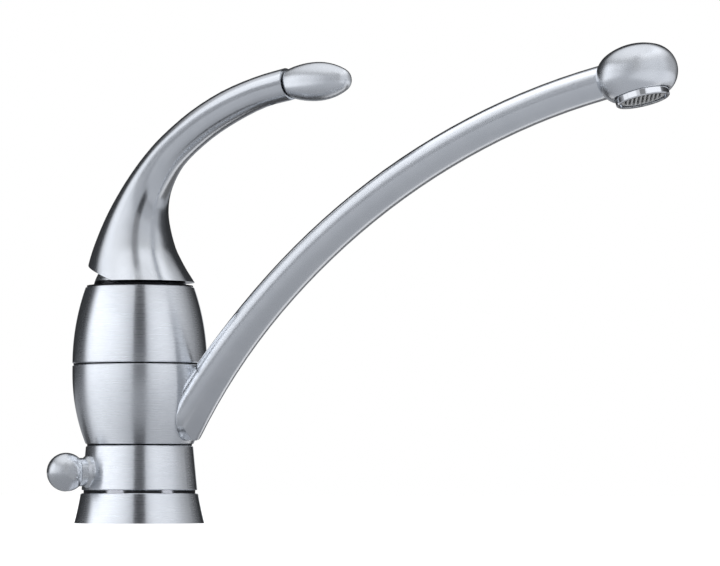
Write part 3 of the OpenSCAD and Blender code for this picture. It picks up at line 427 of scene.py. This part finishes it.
# Ground: levels by azimuth, times levels by the distance in metres, darker near the tap as a painted shadow
# of the tap
GROUND_AZ = [(-180, 0.3), (-150, 0.26), (-125, 0.3), (-95, 0.46), (-40, 0.48), (90, 0.48), (115, 0.3),
             (150, 0.22), (180, 0.3)]
GROUND_SHADOW_BY_DISTANCE = [(0.0, 0.7), (0.06, 0.76), (0.2, 1.05), (0.6, 1.15)]

ground, ground_tree = bare_material("ground_grey")
distance = add(ground_tree, "ShaderNodeVectorMath", operation="LENGTH")
feed(ground_tree, place(ground_tree), distance.inputs[0])
levels_with_shadow = levels(ground_tree, distance.outputs["Value"], GROUND_SHADOW_BY_DISTANCE)
ground_color = mix_colors(ground_tree, by_azimuth(ground_tree, GROUND_AZ), levels_with_shadow, kind="MULTIPLY")
surface(ground_tree, add(ground_tree, "ShaderNodeEmission", Color=ground_color, Strength=1.0))
reflector("ground_grey", *turned_grid([(0.0, GROUND_Z), (SKY_R, GROUND_Z)]), ground)

# Ground behind the spout: a bright strip near it, and a dark one further off
for name, near, far, level in (("back_bright", 0.08, 0.15, 0.85), ("back_dark", 0.15, 0.6, 0.16)):
    reflector(name, *sheet(0.02, 0.4, near, far, BACK_Z), even_glow(name, (level, level, level * 1.02)))

# Dark ground close behind the tap
reflector("ground_rear", *turned_grid([(0.03, REAR_Z), (0.25, REAR_Z)], 118, 242, 36),
          even_glow("shade_rear", (0.07, 0.071, 0.075)))

# Dark flag in front, which the turned sections mirror as their dark middle, and its foot on the deck
FLAG = {"az_from": -8, "az_to": 14, "steps": 8}
flag_dark = even_glow("flag_dark", (0.035, 0.036, 0.04))
reflector("flag_front", *turned_grid([(1.9, 0.0), (1.7, 1.3), (1.1, 2.0)], **FLAG), flag_dark)
reflector("flag_foot", *turned_grid([(0.028, FLAG_Z), (0.085, FLAG_Z)], **FLAG), flag_dark)

# Light panels, each with rings of (radius, z) and levels by azimuth

FRONT_AZ = [(-9, 0.42), (15, 0.42)]

glow_panel("glow_body", TURNED, [(2.3, 0.0), (2.1, 1.3), (1.9, 1.55)],
           [(-108, 0.0), (-97, 1.05), (-84, 1.13), (-69, 1.06), (-66.5, 1.2), (-63, 1.19), (-60, 1.03),
            (-47, 0.95), (-35, 0.81), (-28, 0.7), (-22, 0.55), (-10, 0.3), (-8, 0.0), (14, 0.0), (16, 0.3),
            (24, 0.6), (38, 0.76), (60, 0.66), (71, 0.54), (80, 0.36), (90, 0.42), (102, 0.4), (115, 0.28),
            (126, 0.14), (140, 0.04), (150, 0.0)])
glow_panel("glow_body_ground", TURNED, [(0.0, BODY_GLOW_Z), (0.8, BODY_GLOW_Z)],
           [(-110, 0.0), (-94, 0.36), (-84, 0.5), (-72, 0.54), (-60, 0.48), (-35, 0.32), (-13, 0.14),
            (-9, 0.0), (15, 0.0), (20, 0.1), (38, 0.15), (70, 0.13), (86, 0.05), (100, 0.0)])
glow_panel("glow_lever", ["lever_handle"], [(1.2, 0.6), (1.2, 2.1)],
           [(-113, 0.0), (-104, 0.6), (-92, 0.66), (-82, 0.68), (-64, 0.56), (-47, 0.42), (-31, 0.29),
            (-17, 0.13), (-9, 0.05), (-7, 0.24), (13, 0.24), (16, 0.17), (42, 0.18), (50, 0.25), (58, 0.05),
            (66, 0.03), (75, 0.2), (84, 0.33), (94, 0.25), (101, 0.1), (106, 0.0)])
glow_panel("glow_spout", ["spout_tube"], [(2.5, 0.06), (2.3, 1.0), (1.6, 1.9), (1.1, 2.2)],
           [(-146, 0.0), (-142, 0.85), (-112, 0.85), (-98, 0.74), (-84, 0.62), (-75, 0.5), (-68, 0.36),
            (-66.5, 0.0)])
glow_panel("glow_left", ROUND, [(0.4, GLOW_Z), (1.6, GLOW_Z), (1.5, 1.1)],
           [(-118, 0.0), (-106, 0.85), (-80, 0.66), (-57, 0.44), (-37, 0.24), (-18, 0.0)])
glow_panel("glow_right", ["outlet_bulb", "lever_knob"],
           [(0.4, GLOW_Z), (1.6, GLOW_Z), (1.5, 1.1), (1.0, 1.9)],
           [(2, 0.0), (18, 0.24), (46, 0.32), (66, 0.28), (89, 0.38), (118, 0.4), (135, 0.2), (150, 0.0)])
glow_panel("glow_twice", TURNED, [(2.45, 0.0), (2.25, 1.0), (1.55, 1.85), (0.3, 2.4)],
           [(-60, 0.0), (-40, 0.7), (150, 0.7), (170, 0.0)], twice=True)
glow_panel("glow_rear", TURNED, [(2.2, 0.0), (2.0, 1.3)],
           [(-180, 0.65), (-169, 0.65), (-165, 0.0), (165, 0.0), (169, 0.65), (180, 0.65)])
glow_panel("glow_front", SOFT, [(1.8, 0.0), (1.6, 1.3), (1.0, 2.0)], FRONT_AZ)
glow_panel("glow_foot", SOFT, [(0.028, GLOW_Z), (0.085, GLOW_Z)], FRONT_AZ)
glow_panel("glow_sleeve", ["aerator_housing"], [(1.75, 0.0), (1.55, 1.3)],
           [(-88, 0.0), (-84, 0.6), (-24, 0.6), (-18, 0.22), (16, 0.25), (20, 0.6), (82, 0.6), (86, 0.0)])
glow_panel("glow_ring", ["shadow_ring"], [(1.7, 0.0), (1.6, 1.0)],
           [(-68, 0.0), (-66, 1.0), (-31, 1.0), (-29, 0.0), (50, 0.0), (52, 1.0), (73, 1.0), (75, 0.0)],
           strength=16.0)

# Soft lights

LIGHT_AIM = Vector((0.08, 0, 0.09))


def soft_light(name, azimuth, elevation, distance, size, power):
    """Area light that shines at the aim, from an azimuth and elevation in degrees."""
    e = math.radians(elevation)
    level = Matrix.Rotation(math.radians(azimuth), 3, "Z") @ toward
    d = level * math.cos(e) + Vector((0, 0, math.sin(e)))
    data = bpy.data.lights.new(name, "AREA")
    data.shape = "RECTANGLE"
    data.size, data.size_y = size
    data.energy = power
    o = bpy.data.objects.new(name, data)
    bpy.context.scene.collection.objects.link(o)
    o.location = LIGHT_AIM + d * distance
    o.rotation_euler = (-d).to_track_quat("-Z", "Y").to_euler()
    o.visible_camera = False
    o.visible_glossy = False


soft_light("softbox_left", -62, 30, 1.7, (1.9, 1.5), 9.0)
soft_light("softbox_top", 20, 78, 1.6, (1.4, 1.4), 6.0)

# Camera, fitted to the photo: it looks up a little, so the horizon lies below the picture's middle

LENS = 200
SENSOR = 36
# In pixels of the photo
PHOTO_W = 720
HORIZON_DROP = 207
tilt = math.atan(HORIZON_DROP / (PHOTO_W * LENS / SENSOR))

camera = bpy.data.cameras.new("camera")
camera.lens = LENS
camera.sensor_width = SENSOR
camera.clip_start = 0.05
camera.clip_end = 60
cam = bpy.data.objects.new("camera", camera)
bpy.context.scene.collection.objects.link(cam)
cam.location = (0.96872, -1.37571, 0.01386)
cam.rotation_euler = (math.radians(90) + tilt, 0, AZIMUTH)
bpy.context.scene.camera = cam
bpy.context.scene.view_settings.view_transform = "Standard"
